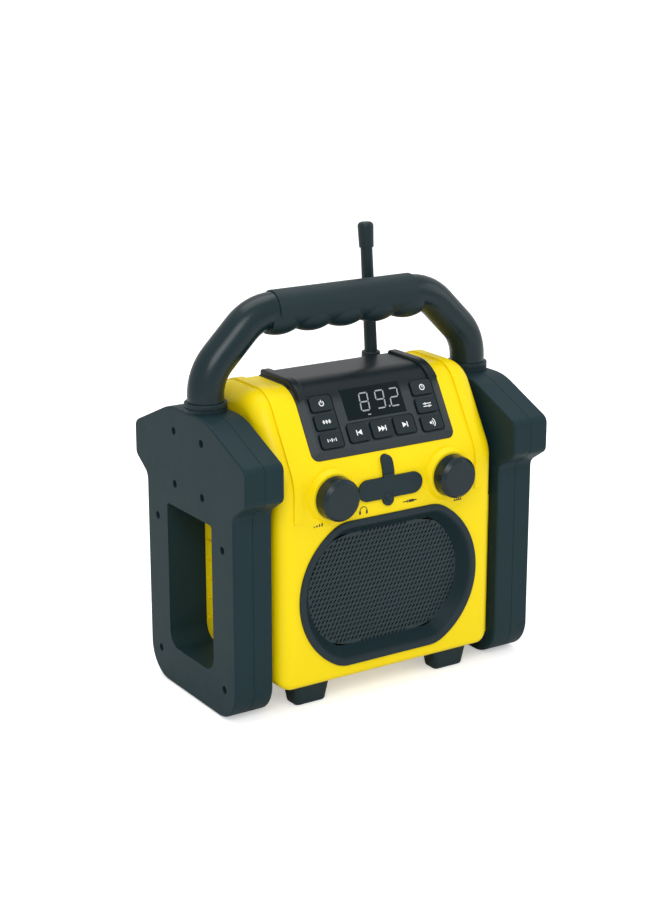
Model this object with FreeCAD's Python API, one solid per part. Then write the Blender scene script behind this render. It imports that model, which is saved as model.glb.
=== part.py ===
import FreeCAD, Part
import math
import os

# Jobsite radio, in millimetres. The front faces -Y, +X is the viewer's right, +Z is up.
# The origin is on the floor, below the middle of the radio.

V = FreeCAD.Vector
X_AXIS = V(1, 0, 0)
Y_AXIS = V(0, 1, 0)
Z_AXIS = V(0, 0, 1)

# General walls and clearances
wall = 3.0
seat_gap = 0.2
moving_gap = 0.35
shaft_gap = 0.05

# Feet
foot_height = 17.2
foot_setback = 7.0
foot_width = 31.0
foot_depth = 20.0
foot_taper = 2.5
foot_corner = 4.0
foot_sole_radius = 2.5
foot_side = 11.4

# Loudspeaker
bezel_half_width = 77.6
bezel_half_height = 55.0
bezel_side_radius = 60.0
bezel_corner_radius = 25.0
bezel_clearance = 10.1
bezel_proud = 1.8
bezel_land = 4.5
bezel_ring = 12.5
bezel_edge_radius = 1.2
grille_seat = 1.5
grille_depth = 8.0
grille_thickness = 1.6
slot_pitch_x = 8.6
slot_pitch_z = 7.4
slot_length = 6.2
slot_width = 3.4
slot_slant = 3.0
slot_margin_x = 5.0
slot_margin_z = 4.0
slot_curve = 0.006
driver_radius = 46.0
driver_rim = 4.0
driver_depth = 26.0
driver_skin = 1.5
cone_skin = 1.2
cone_setback = 6.5
cone_seat = 1.5
cone_room = 10.7
cone_roll = 5.0
cap_radius = 13.0
cap_curve = 18.0
cap_bulge = 5.6
magnet_radius = 24.0
magnet_height = 12.0
magnet_plate = 2.0
magnet_step = 1.5
basket_window_half = 9.0
basket_window_start = 8.0
basket_window_drop = 6.0

# Knobs
knob_radius = 15.9
knob_taper = 0.5
knob_bevel_start = 8.6
knob_bevel_width = 2.6
knob_length = 11.5
knob_edge_radius = 0.8
knob_gap = 0.6
knob_boss_radius = 20.0
knob_boss_taper = 2.4
knob_boss_height = 4.0
knob_clearance = 1.2
shaft_radius = 3.0
shaft_seat = 3.5
bushing_radius = 4.5
nut_width = 1.2
nut_thickness = 2.0
control_half_width = 8.0
control_depth = 8.0
shaft_tail = 1.0

# Jack cover and jacks
cover_half_length = 27.7
cover_middle = -1.0
cover_bar_height = 16.0
cover_drop = 1.2
cover_arm_middle = -2.8
cover_arm_width = 9.2
cover_arm_rise = 23.4
cover_arm_fall = 13.8
cover_thickness = 2.2
cover_hinge_gap = 2.7
cover_gap = 0.15
cover_slit = 0.3
cover_peg_radius = 1.6
cover_peg_drop = 5.0
cover_side_gap = 2.9
cover_bump_radius = 4.2
cover_bump_sink = 2.6
cover_bump_rise = 6.5
cover_edge_radius = 0.7
jack_offset = 17.5
jack_hole_radius = 4.2
jack_bore_radius = 1.85
jack_bore_length = 14.0
jack_bushing_radius = 3.8
jack_bushing_length = 3.0
jack_half_width = 5.5
jack_half_height = 4.0
jack_post_radius = 2.6
jack_post_length = 2.0
jack_post_gap = 0.6

# Body shells
body_front = 64.2
body_rear = 62.0
body_side_radius = 12.0
body_edge_radius = 5.0
shoulder_rise = 13.2
shoulder_height = 58.8
shoulder_lean = 31.0
shoulder_radius = 30.0
crown_radius = 25.0
shell_post_radius = 4.5
shell_post_inset = 14.5
shell_post_low = 16.8
shell_post_high = 21.7
shell_screw_length = 44.0
shell_screw_depth = 42.0

# Control panel over the shoulder
panel_rise = 11.3
panel_margin = 8.9
panel_corner = 6.0
panel_bevel = 5.5
panel_rear = 16.0
panel_proud = 2.6
panel_sunk = 2.0
panel_lip = 0.4
panel_ledge = 4.0
panel_rim_width = 8.0
panel_rim_height = 2.0
panel_rim_start = 36.0
panel_rim_inset = 1.5
panel_rim_radius = 1.6
window_half_width = 25.5
window_rise = 21.0
window_length = 23.6
window_thickness = 1.4
window_seat = 2.5
window_ledge = 2.0
window_sink = 0.3
module_gap = 1.0
module_room = 0.6
key_travel = 0.8
key_proud = 1.2
key_corner = 2.2
key_edge_radius = 0.7
key_rest_gap = 0.05
key_bed_margin = 1.4
key_bed_depth = 1.1
key_divider = 2.5
side_key_width = 18.0
side_key_length = 11.2
side_key_gap = 9.1
side_key_rise = 10.9
row_key_width = 17.2
row_key_length = 13.2
row_key_divider = 2.6
row_key_rise = 12.7
key_flange = 0.6
key_flange_depth = 1.0
board_gap = 3.6
board_thickness = 1.6
board_margin = 1.4
board_rise = 21.5
board_overhang = 3.55
switch_width = 6.0
switch_gap = 1.65

# Raised ribs over the shoulders
rib_gap = 13.5
rib_width = 7.0
rib_height = 1.4
rib_end_drop = 28.7
rib_inset = 12.5

# Side pads between body and frames
pad_thickness = 4.5
pad_margin = 20.0
pad_low_gap = 3.3
pad_high_gap = 10.7
pad_edge_radius = 1.5
pad_groove_pitch = 15.3
pad_groove_width = 3.0
pad_groove_depth = 1.6
pad_groove_count = 6
pad_groove_inset = 2.0

# Side frames
frame_thickness = 31.0
frame_bottom = 0.8
frame_edge = 1.6
frame_seam_groove = 0.35
frame_rib = 3.0
saddle_step = 24.0
saddle_drop = 12.0
saddle_room = 0.6
opening_half_depth = 32.5
opening_rise = 30.2
opening_drop = 14.1
opening_radius = 12.0
opening_top_radius = 2.5
leg_width = 30.5
leg_corner = 25.0
head_overhang = 17.5
head_drop = 14.5
head_flat_half = 27.0
head_radius = 50.0
nose_radius = 7.0
chin_radius = 6.0
neck_radius = 8.0
nose_drop = 23.2
nose_height = 25.3
nose_undercut = 11.7
screw_recess_radius = 2.9
screw_recess_depth = 7.0
screw_shank_radius = 1.5
screw_head_radius = 2.7
screw_head_height = 2.4
screw_length = 15.0
boss_radius = 4.6
head_screw_spread = 20.0
head_screw_drop = 17.7
head_screw_rise = 17.1
leg_screw_side = 14.9
leg_screw_drop = 13.8
leg_screw_rise = 22.9

# Carrying handle
tube_radius = 13.2
tube_wall = 2.0
tube_bend = 36.0
tube_rise = 25.4
tube_corner = 40.1
tube_foot_drop = 3.8
grip_half_length = 60.0
grip_radius = 14.4
grip_overhang = 5.0
grip_edge_radius = 0.8
lobe_count = 5
lobe_pitch = 27.6
lobe_radius = 14.0
lobe_drop = 4.4
lobe_arc = 31.3
collar_width = 2.2
collar_height = 6.5
collar_edge_radius = 0.8
collar_groove_width = 1.0
collar_groove_depth = 0.7

# Battery bay and power inlet at the back
cell_radius = 13.1
cell_length = 50.0
cell_gap = 0.5
cell_side_room = 7.5
cell_row_pitch = 31.0
cell_nub_radius = 3.0
cell_nub_length = 1.5
rail_half_height = 0.8
rail_depth = 10.0
bay_rise = 14.8
bay_wall = 2.0
bay_front_room = 3.3
door_thickness = 2.4
door_pin_radius = 1.0
door_pin_length = 2.0
door_pin_height = 3.0
door_rib_count = 6
door_rib_pitch = 8.0
door_rib_width = 3.0
door_rib_length = 7.0
door_rib_drop = 5.0
door_rib_height = 1.0
inlet_gap = 12.0
inlet_rise = 28.0
inlet_radius = 2.8
inlet_length = 9.0
inlet_wall = 2.7
inlet_case = 7.0
inlet_pin_radius = 1.0
inlet_back = 5.0

# Aerial
aerial_side = 17.5
aerial_back = 9.5
aerial_radius = 4.9
aerial_height = 100.5
aerial_lean = 5.0
aerial_cap_radius = 6.1
aerial_cap_length = 19.0
aerial_collar_width = 2.2
aerial_collar_height = 3.5
aerial_collar_depth = 12.0
aerial_stem_radius = 4.8
aerial_stem_length = 4.0
aerial_taper = 0.4
aerial_cap_taper = 0.6
aerial_tip_radius = 3.2

# Main board
main_board_width = 140.0
main_board_height = 38.0
main_board_drop = 18.5
main_board_setback = 26.2

# Heights, from the floor up
body_bottom = foot_height
speaker_height = body_bottom + bezel_clearance + bezel_half_height
knob_height = speaker_height + bezel_half_height + knob_clearance + knob_boss_radius
shoulder_start = knob_height + shoulder_rise
body_top = shoulder_start + shoulder_height
cover_center = knob_height - cover_drop
cover_arm_top = cover_center + cover_arm_rise
cover_arm_bottom = cover_center - cover_arm_fall
cover_hinge_height = cover_center + cover_bar_height / 2 + cover_hinge_gap
panel_low = shoulder_start + panel_rise
window_low = panel_low + window_rise
side_key_low = panel_low + side_key_rise
row_key_height = panel_low + row_key_rise
rib_end = shoulder_start - rib_end_drop
head_top = body_top - head_drop
nose_top = head_top - nose_drop
nose_bottom = nose_top - nose_height
head_underside = nose_bottom - nose_undercut
opening_top = head_underside - opening_drop
opening_bottom = frame_bottom + opening_rise
pad_bottom = body_bottom + pad_low_gap
pad_top = opening_top - pad_high_gap
bend_start = head_top + tube_rise
bar_height = bend_start + tube_corner
tube_foot = head_underside - tube_foot_drop
bay_bottom = body_bottom + bay_rise
bay_top = bay_bottom + 2 * cell_row_pitch
inlet_height = bay_bottom + inlet_rise
aerial_top = body_top + aerial_height

# Widths and depths, from the middle outwards
knob_offset = knob_boss_radius + cover_half_length + cover_side_gap
side_key_offset = window_half_width + side_key_gap + side_key_width / 2
side_key_pitch = side_key_length + key_divider
row_key_pitch = row_key_width + row_key_divider
panel_half_width = side_key_offset + side_key_width / 2 + panel_margin
rib_offset = panel_half_width + rib_gap + rib_width / 2
body_half_width = rib_offset + rib_width / 2 + rib_inset
frame_inner = body_half_width + pad_thickness
frame_outer = frame_inner + frame_thickness
frame_seam = frame_inner + frame_thickness / 2
leg_x = frame_seam
leg_half_depth = opening_half_depth + leg_width
head_half_depth = leg_half_depth + head_overhang
pad_half_depth = opening_half_depth + pad_margin
shell_post_x = body_half_width - shell_post_inset
shell_post_heights = (body_bottom + shell_post_low, shoulder_start - shell_post_high)
bay_half_width = cell_length + cell_gap + cell_side_room
bay_depth = 2 * cell_radius + bay_wall + cell_gap + bay_front_room
inlet_offset = -bay_half_width - inlet_gap
foot_offset = knob_offset + foot_side
aerial_x = window_half_width + aerial_side
aerial_y = panel_rear + aerial_back

lean = math.radians(shoulder_lean)
SLOPE_UP = V(0, math.sin(lean), math.cos(lean))
SLOPE_OUT = V(0, -math.cos(lean), math.sin(lean))
slope_origin = V(0, -body_front, shoulder_start)
screw_places = [(head_screw_spread, head_top - head_screw_drop),
                (head_screw_spread, opening_top + head_screw_rise),
                (opening_half_depth + leg_screw_side, opening_top - leg_screw_drop),
                (opening_half_depth + leg_screw_side, frame_bottom + leg_screw_rise)]

os.makedirs("parts", exist_ok=True)


def save(node, *solids):
    """Write one sub-part; a node of several like pieces keeps them as separate solids."""
    shape = solids[0] if len(solids) == 1 else Part.makeCompound(list(solids))
    shape.exportStep("parts/" + node + ".step")


def block(x0, x1, y0, y1, z0, z1):
    """A box between two opposite corners."""
    return Part.makeBox(x1 - x0, y1 - y0, z1 - z0, V(x0, y0, z0))


def rod(start, direction, radius, length):
    """A round bar from a point along a direction."""
    return Part.makeCylinder(radius, length, start, direction)


def rounded_wire(points, radii, closed=True):
    """A line through corner points with each corner rounded by a tangent arc."""
    count = len(points)
    edges = []
    previous = None
    first = None
    for i in range(count):
        p = points[i]
        if not closed and i in (0, count - 1):
            entry = p
            leave = p
            arc = None
        else:
            a = (points[i - 1] - p).normalize()
            b = (points[(i + 1) % count] - p).normalize()
            half = a.getAngle(b) / 2
            reach = radii[i] / math.tan(half)
            entry = p + a * reach
            leave = p + b * reach
            middle = (a + b).normalize()
            centre = p + middle * (radii[i] / math.sin(half))
            arc = Part.Arc(entry, centre - middle * radii[i], leave).toShape()
        if previous is None:
            first = entry
        else:
            edges.append(Part.LineSegment(previous, entry).toShape())
        if arc is not None:
            edges.append(arc)
        previous = leave
    if closed:
        edges.append(Part.LineSegment(previous, first).toShape())
    return Part.Wire(edges)


def mirrored(shape):
    """The same piece for the other side of the radio."""
    return shape.mirror(V(0, 0, 0), X_AXIS)


def on_slope(x, height, out):
    """A point on the shoulder slope, at a height above the floor and a distance off the surface."""
    along = (height - shoulder_start) / math.cos(lean)
    return V(x, 0, 0) + slope_origin + SLOPE_UP * along + SLOPE_OUT * out


def slope_block(x, height, width, length, low, high):
    """A block that stands square on the shoulder slope."""
    base = on_slope(x - width / 2, height, low) - SLOPE_UP * (length / 2)
    corners = [base, base + V(width, 0, 0), base + V(width, 0, 0) + SLOPE_UP * length, base + SLOPE_UP * length]
    face = Part.Face(Part.makePolygon(corners + [base]))
    return face.extrude(SLOPE_OUT * (high - low))


def slope_pad(x, height, width, length, low, high, corner):
    """A block square on the shoulder slope, with rounded corners."""
    start = on_slope(x - width / 2, height, low) - SLOPE_UP * (length / 2)
    side = V(width, 0, 0)
    up = SLOPE_UP * length
    points = [start, start + side, start + side + up, start + up]
    return Part.Face(rounded_wire(points, [corner] * 4)).extrude(SLOPE_OUT * (high - low))


def body_outline(grow):
    """Side view of the body, grown outwards by a distance."""
    crown_in = (body_top - shoulder_start) * math.tan(lean)
    points = [V(0, -body_front, body_bottom), V(0, -body_front, shoulder_start),
              V(0, -body_front + crown_in, body_top), V(0, body_rear - crown_in, body_top),
              V(0, body_rear, shoulder_start), V(0, body_rear, body_bottom)]
    radii = [body_edge_radius, shoulder_radius, crown_radius, crown_radius, shoulder_radius, body_edge_radius]
    face = Part.Face(rounded_wire(points, radii))
    return face.makeOffset2D(grow) if grow else face


def body_solid(grow):
    """The body's outer form, or its inner form when grown by less than nothing."""
    half = body_half_width + grow
    face = body_outline(grow)
    face.translate(V(-half, 0, 0))
    solid = face.extrude(V(2 * half, 0, 0))
    ends = [e for e in solid.Edges if abs(abs(e.CenterOfMass.x) - half) < 0.01]
    return solid.makeFillet(body_side_radius + grow, ends)


def shoulder_band(grow, half_width, x_centre=0.0):
    """A slice of the body outline, used for what runs over the shoulder."""
    face = body_outline(grow)
    face.translate(V(x_centre - half_width, 0, 0))
    return face.extrude(V(2 * half_width, 0, 0))


def bezel_outline(shrink, y):
    """The loudspeaker's barrel outline in the plane Y, shrunk evenly all round."""
    side = bezel_side_radius - shrink
    corner = bezel_corner_radius - shrink
    high = bezel_half_height - shrink
    mid = bezel_half_width - bezel_side_radius
    dx = math.sqrt((side - corner) ** 2 - (high - corner) ** 2)
    cx = mid + dx
    cz = high - corner
    touch = V(dx, 0, cz).normalize() * side

    def at(x, z):
        return V(x, y, speaker_height + z)

    half_turn = math.atan2(cz, dx) / 2 + math.pi / 4
    bulge = V(math.cos(half_turn), 0, math.sin(half_turn)) * corner
    edges = []
    for s in (1, -1):
        edges.append(Part.LineSegment(at(-s * cx, s * high), at(s * cx, s * high)).toShape())
        edges.append(Part.Arc(at(s * cx, s * high), at(s * (cx + bulge.x), s * (cz + bulge.z)),
                              at(s * (mid + touch.x), s * touch.z)).toShape())
        edges.append(Part.Arc(at(s * (mid + touch.x), s * touch.z), at(s * (mid + side), 0),
                              at(s * (mid + touch.x), -s * touch.z)).toShape())
        edges.append(Part.Arc(at(s * (mid + touch.x), -s * touch.z), at(s * (cx + bulge.x), -s * (cz + bulge.z)),
                              at(s * cx, -s * high)).toShape())
    return Part.Wire(Part.__sortEdges__(edges))


def bezel_prism(shrink, y0, y1):
    """The loudspeaker outline as a plug between two depths."""
    return Part.Face(bezel_outline(shrink, y0)).extrude(V(0, y1 - y0, 0))


def capsule(half_length, height, y0, y1, z):
    """A bar with round ends, as on the jack cover."""
    r = height / 2
    body = block(-half_length + r, half_length - r, y0, y1, z - r, z + r)
    ends = [rod(V(s * (half_length - r), y0, z), Y_AXIS, r, y1 - y0) for s in (1, -1)]
    return body.fuse(ends).removeSplitter()


def shell_bosses(y_front, y_back):
    """Tubular posts inside the corners where the two shells are screwed together."""
    return [rod(V(x, y_front, z), Y_AXIS, shell_post_radius, y_back - y_front) for x, z in shell_posts()]


def shell_posts():
    """Side and height of each of the four posts."""
    return [(s * shell_post_x, z) for s in (-1, 1) for z in shell_post_heights]


def shell_screw_seat():
    """How far back the heads of the long screws stand."""
    return body_rear - shell_screw_depth


def hollow_body():
    """The whole yellow case as one wall, before it is parted into front and rear."""
    return body_solid(0).cut(body_solid(-wall))


def front_shell():
    """Front half of the case with its shoulder ribs, dishes and cut-outs."""
    shell = hollow_body().common(block(-200, 200, -200, 0, 0, 300))
    ribs = []
    for s in (1, -1):
        band = shoulder_band(rib_height, rib_width / 2, s * rib_offset)
        band = band.cut(shoulder_band(-wall / 2, rib_width, s * rib_offset))
        ribs.append(band.common(block(-200, 200, -200, 0, rib_end, 300)))
    shell = shell.fuse(ribs)
    posts = [p.common(body_solid(-wall / 2)) for p in shell_bosses(-body_front, 0)]
    shell = shell.fuse(posts + [knob_boss(-knob_offset), knob_boss(knob_offset)])
    cuts = [bezel_prism(bezel_ring - bezel_land - wall + seat_gap, -100, -body_front + 2 * wall)]
    for x in (-knob_offset, knob_offset):
        cuts.append(rod(V(x, -100, knob_height), Y_AXIS, bushing_radius + seat_gap, 60))
    for x in (-jack_offset, jack_offset):
        cuts.append(rod(V(x, -100, cover_center), Y_AXIS, jack_hole_radius, 60))
    cuts.append(cover_peg(cover_peg_radius, 20))
    cuts.append(panel_pocket())
    for x, z in shell_posts():
        tip = shell_screw_seat() - shell_screw_length - 2
        cuts.append(rod(V(x, tip, z), Y_AXIS, screw_shank_radius, 1 - tip))
    return shell.cut(cuts)


def knob_boss(x):
    """Low round stand under a knob, running back into the wall where the shoulder leans away."""
    cone = Part.makeCone(knob_boss_radius, knob_boss_radius - knob_boss_taper, knob_boss_height,
                         V(x, -body_front, knob_height), Y_AXIS * -1)
    tip = [e for e in cone.Edges if abs(e.CenterOfMass.y + body_front + knob_boss_height) < 0.01]
    cone = cone.makeFillet(1.0, tip)
    root = rod(V(x, -body_front, knob_height), Y_AXIS, knob_boss_radius, 2 * wall)
    return cone.fuse(root).cut(body_solid(-wall))


def above_panel_edge(gap):
    """Everything above the lower edge of the control panel, square to the slope."""
    reach = 200.0
    middle = panel_low - gap * math.cos(lean) + reach / 2 * math.cos(lean)
    return slope_block(0, middle, 300, reach, -90, 60)


def panel_corners(gap):
    """The two lower corners that the panel's rounded outline leaves to the case."""
    corners = []
    size = panel_corner + 5
    for s in (1, -1):
        x = panel_half_width + gap - panel_corner
        height = panel_low + (panel_corner - gap) * math.cos(lean)
        square = slope_block(s * (x + size / 2), height - size / 2 * math.cos(lean), size, size, -20, 20)
        corners.append(square.cut(rod(on_slope(s * x, height, -25), SLOPE_OUT, panel_corner, 50)))
    return corners


def panel_pocket():
    """Room that the control panel and its boards need in the case."""
    seat = shoulder_band(20, panel_half_width + seat_gap).cut(shoulder_band(-panel_sunk, 100))
    cut_low = above_panel_edge(seat_gap)
    cut_back = block(-200, 200, -200, panel_rear + seat_gap, 0, 300)
    middle = (panel_low + window_top()) / 2
    span = (window_top() - panel_low) / math.cos(lean) - 2 * panel_ledge
    depth = panel_sunk + board_gap + board_thickness + 12
    through = slope_block(0, middle, 2 * (panel_half_width - panel_ledge), span, -depth, 5)
    return seat.common(cut_low).common(cut_back).cut(panel_corners(seat_gap)).fuse(through)


def rear_shell():
    """Rear half of the case with the battery bay mouth, inlet hole and aerial seat."""
    shell = hollow_body().common(block(-200, 200, 0, 200, 0, 300))
    ribs = []
    for s in (1, -1):
        band = shoulder_band(rib_height, rib_width / 2, s * rib_offset)
        band = band.cut(shoulder_band(-wall / 2, rib_width, s * rib_offset))
        ribs.append(band.common(block(-200, 200, 0, 200, rib_end, 300)))
    shell = shell.fuse(ribs)
    posts = [p.common(body_solid(-wall / 2)) for p in shell_bosses(0, body_rear)]
    shell = shell.fuse(posts)
    cuts = [block(-bay_half_width, bay_half_width, body_rear - wall - 1, 100, bay_bottom, bay_top)]
    half = bay_half_width + door_pin_length + seat_gap
    cuts.append(rod(V(-half, body_rear - door_thickness / 2, bay_bottom + door_pin_height), X_AXIS,
                    door_pin_radius + shaft_gap, 2 * half))
    cuts.append(rod(V(inlet_offset, 0, inlet_height), Y_AXIS, inlet_radius + inlet_wall + seat_gap, 100))
    cuts.append(rod(V(aerial_x, aerial_y, shoulder_start), Z_AXIS, aerial_stem_radius + seat_gap, 100))
    cuts.append(panel_pocket())
    for x, z in shell_posts():
        cuts.append(rod(V(x, -1, z), Y_AXIS, screw_shank_radius, 100))
        cuts.append(rod(V(x, shell_screw_seat(), z), Y_AXIS, screw_head_radius + seat_gap, 100))
    return shell.cut(cuts)


def shell_screws():
    """Four long screws that hold the rear shell to the front one."""
    screws = []
    for x, z in shell_posts():
        seat = shell_screw_seat()
        head = rod(V(x, seat, z), Y_AXIS, screw_head_radius, screw_head_height)
        shank = rod(V(x, seat - shell_screw_length, z), Y_AXIS, screw_shank_radius, shell_screw_length)
        screws.append(head.fuse(shank).removeSplitter())
    return screws


def frame_outline():
    """Side view of one frame: wide head, straight leg, round bottom corners."""
    front = [V(0, -head_flat_half, head_top), V(0, -head_half_depth, nose_top),
             V(0, -head_half_depth, nose_bottom), V(0, -leg_half_depth, head_underside),
             V(0, -leg_half_depth, frame_bottom)]
    back = [V(0, -p.y, p.z) for p in reversed(front)]
    radii = [head_radius, nose_radius, chin_radius, neck_radius, leg_corner]
    return rounded_wire(front + back, radii + radii[::-1])


def opening_outline():
    """The hand-sized hole through a frame."""
    d = opening_half_depth
    points = [V(0, -d, opening_top), V(0, d, opening_top), V(0, d, opening_bottom), V(0, -d, opening_bottom)]
    return rounded_wire(points, [opening_top_radius, opening_top_radius, opening_radius, opening_radius])


def frame_half(outer):
    """One clamshell half of the left frame: a moulded tray with posts and tube saddles."""
    x_face = -frame_outer if outer else -frame_inner
    inward = 1 if outer else -1
    depth = frame_thickness / 2
    skin = Part.Face(frame_outline())
    skin.translate(V(x_face, 0, 0))
    solid = skin.extrude(V(inward * depth, 0, 0))
    rim = [e for e in solid.Edges if abs(e.CenterOfMass.x - x_face) < 0.01]
    solid = solid.makeFillet(frame_edge, rim)
    seam = [e for e in solid.Edges if abs(e.CenterOfMass.x - x_face - inward * depth) < 0.01]
    solid = solid.makeChamfer(frame_seam_groove, seam)
    hole = Part.Face(opening_outline())
    hole.translate(V(x_face - inward * 5, 0, 0))
    solid = solid.cut(hole.extrude(V(inward * 60, 0, 0)))
    room = Part.Face(frame_outline()).makeOffset2D(-wall)
    room.translate(V(x_face + inward * wall, 0, 0))
    room = room.extrude(V(inward * depth, 0, 0))
    keep = Part.Face(opening_outline()).makeOffset2D(wall)
    keep.translate(V(x_face, 0, 0))
    room = room.cut(keep.extrude(V(inward * 60, 0, 0)))
    solid = solid.cut(room)
    extras = []
    for y, z in screw_places:
        for s in (1, -1):
            extras.append(rod(V(x_face, s * y, z), V(inward, 0, 0), boss_radius, depth))
    x0, x1 = sorted((x_face, x_face + inward * depth))
    saddle = boss_radius + head_screw_spread - saddle_room
    for z in (tube_foot - wall, tube_foot + saddle_step, head_top - saddle_drop):
        extras.append(block(x0 + 1, x1, -saddle, saddle, z, z + frame_rib))
    solid = solid.fuse(extras)
    cuts = [rod(V(-leg_x, 0, tube_foot), Z_AXIS, tube_radius, 100)]
    for y, z in screw_places:
        for s in (1, -1):
            if outer:
                cuts.append(rod(V(x_face - 1, s * y, z), X_AXIS, screw_recess_radius, screw_recess_depth + 1))
                cuts.append(rod(V(x_face - 1, s * y, z), X_AXIS, screw_shank_radius, 60))
            else:
                cuts.append(rod(V(-frame_seam, s * y, z), X_AXIS, screw_shank_radius, screw_length - depth
                                + screw_recess_depth + 1))
    return solid.cut(cuts)


def frame_screws():
    """Eight recessed screws through each frame, sixteen in all."""
    screws = []
    for y, z in screw_places:
        for s in (1, -1):
            start = V(-frame_outer + screw_recess_depth - screw_head_height, s * y, z)
            head = rod(start, X_AXIS, screw_head_radius, screw_head_height)
            shank = rod(start, X_AXIS, screw_shank_radius, screw_head_height + screw_length)
            screw = head.fuse(shank).removeSplitter()
            screws.append(screw)
            screws.append(mirrored(screw))
    return screws


def side_pad():
    """Ribbed pad on the left wall of the case, which the frame is bolted against."""
    pad = block(-frame_inner, -body_half_width, -pad_half_depth, pad_half_depth, pad_bottom, pad_top)
    long_edges = [e for e in pad.Edges if abs(e.CenterOfMass.x + frame_inner) < 0.01]
    pad = pad.makeFillet(pad_edge_radius, long_edges)
    middle = (opening_bottom + opening_top) / 2
    cuts = []
    for i in range(pad_groove_count):
        z = middle + (i - (pad_groove_count - 1) / 2) * pad_groove_pitch
        reach = opening_half_depth - pad_groove_inset
        cuts.append(block(-frame_inner - 1, -frame_inner + pad_groove_depth, -reach, reach,
                          z - pad_groove_width / 2, z + pad_groove_width / 2))
    return pad.cut(cuts)


def handle_path():
    """Centre line of the bent tube."""
    corner_x = leg_x - (bar_height - bend_start)
    points = [V(-leg_x, 0, tube_foot), V(-leg_x, 0, bend_start), V(-corner_x, 0, bar_height),
              V(corner_x, 0, bar_height), V(leg_x, 0, bend_start), V(leg_x, 0, tube_foot)]
    return rounded_wire(points, [0, tube_bend, tube_bend, tube_bend, tube_bend, 0], closed=False)


def handle_pipe(radius):
    """A round bar along the handle's centre line."""
    circle = Part.Wire(Part.makeCircle(radius, V(-leg_x, 0, tube_foot), Z_AXIS))
    return handle_path().makePipeShell([circle], True, False)


def handle_tube():
    """Bent steel tube, open at both ends inside the frame heads."""
    return handle_pipe(tube_radius).cut(handle_pipe(tube_radius - tube_wall))


def handle_grip():
    """Rubber sleeve with five finger lobes below the bar."""
    sleeve = rod(V(-grip_half_length, 0, bar_height), X_AXIS, grip_radius, 2 * grip_half_length)
    ends = [e for e in sleeve.Edges if abs(abs(e.CenterOfMass.x) - grip_half_length) < 0.01]
    sleeve = sleeve.makeFillet(grip_edge_radius, ends)
    lobes = []
    half = lobe_pitch / 2
    drop = lobe_arc - math.sqrt(lobe_arc ** 2 - half ** 2)
    axis_z = bar_height - lobe_drop
    for i in range(lobe_count):
        x = (i - (lobe_count - 1) / 2) * lobe_pitch
        arc = Part.Arc(V(x - half, 0, axis_z - lobe_radius + drop), V(x, 0, axis_z - lobe_radius),
                       V(x + half, 0, axis_z - lobe_radius + drop)).toShape()
        left = Part.LineSegment(V(x - half, 0, axis_z), V(x - half, 0, axis_z - lobe_radius + drop)).toShape()
        right = Part.LineSegment(V(x + half, 0, axis_z - lobe_radius + drop), V(x + half, 0, axis_z)).toShape()
        base = Part.LineSegment(V(x + half, 0, axis_z), V(x - half, 0, axis_z)).toShape()
        face = Part.Face(Part.Wire([left, arc, right, base]))
        lobes.append(face.revolve(V(x, 0, axis_z), X_AXIS, 360))
    grip = sleeve.fuse(lobes).removeSplitter()
    reach = grip_half_length + grip_overhang
    grip = grip.common(block(-reach, reach, -50, 50, bar_height - 50, bar_height + 50))
    return grip.cut(handle_pipe(tube_radius))


def collar():
    """Ringed plastic collar where the left leg enters the frame head."""
    base = V(-leg_x, 0, head_top)
    height = collar_height
    ring = rod(base, Z_AXIS, tube_radius + collar_width, height)
    top = [e for e in ring.Edges if abs(e.CenterOfMass.z - head_top - height) < 0.01]
    ring = ring.makeFillet(collar_edge_radius, top)
    low = base + Z_AXIS * ((height - collar_groove_width) / 2)
    groove = rod(low, Z_AXIS, tube_radius + collar_width + 1, collar_groove_width)
    groove = groove.cut(rod(base, Z_AXIS, tube_radius + collar_width - collar_groove_depth, height))
    return ring.cut([groove, rod(base, Z_AXIS, tube_radius, height)])


def speaker_bezel():
    """Barrel-shaped ring with a land, a sloping throat and a skirt in the case."""
    y_front = -body_front - bezel_proud
    y_back = -body_front + grille_depth
    ring = bezel_prism(0, y_front, -body_front)
    rim = [e for e in ring.Edges if abs(e.CenterOfMass.y - y_front) < 0.01]
    ring = ring.makeFillet(bezel_edge_radius, rim)
    skirt = bezel_prism(bezel_ring - bezel_land - wall + 2 * seat_gap, -body_front, y_back + grille_thickness)
    throat = Part.makeLoft([bezel_outline(bezel_land, y_front), bezel_outline(bezel_ring, y_back)], True)
    rest = bezel_prism(bezel_ring - grille_seat, y_back, y_back + grille_thickness)
    return ring.fuse(skirt).cut([throat, rest])


def speaker_grille():
    """Flat grille with slanted slots, seated at the bottom of the bezel's throat."""
    y0 = -body_front + grille_depth
    plate = bezel_prism(bezel_ring - grille_seat + seat_gap, y0, y0 + grille_thickness)
    limit = bezel_half_width - bezel_ring - slot_margin_x
    slots = []
    rows = int((bezel_half_height - bezel_ring - slot_margin_z) / slot_pitch_z)
    for j in range(-rows, rows + 1):
        z = j * slot_pitch_z
        reach = limit - slot_curve * z * z
        columns = int(reach / slot_pitch_x)
        for i in range(-columns, columns + 1):
            x = (i + 0.5 * (j % 2)) * slot_pitch_x
            if abs(x) > reach:
                continue
            a = V(x - slot_width / 2 - slot_slant / 2, y0 - 1, speaker_height + z - slot_length / 2 + 0.5)
            points = [a, a + V(slot_width, 0, 0), a + V(slot_width + slot_slant, 0, slot_length - 1.0),
                      a + V(slot_slant, 0, slot_length - 1.0), a]
            slots.append(Part.Face(Part.makePolygon(points)).extrude(V(0, 6, 0)))
    return plate.cut(Part.makeCompound(slots))


def driver_front():
    """Front face of the loudspeaker's frame, just behind the grille."""
    return -body_front + grille_depth + grille_thickness + moving_gap + 0.15


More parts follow.
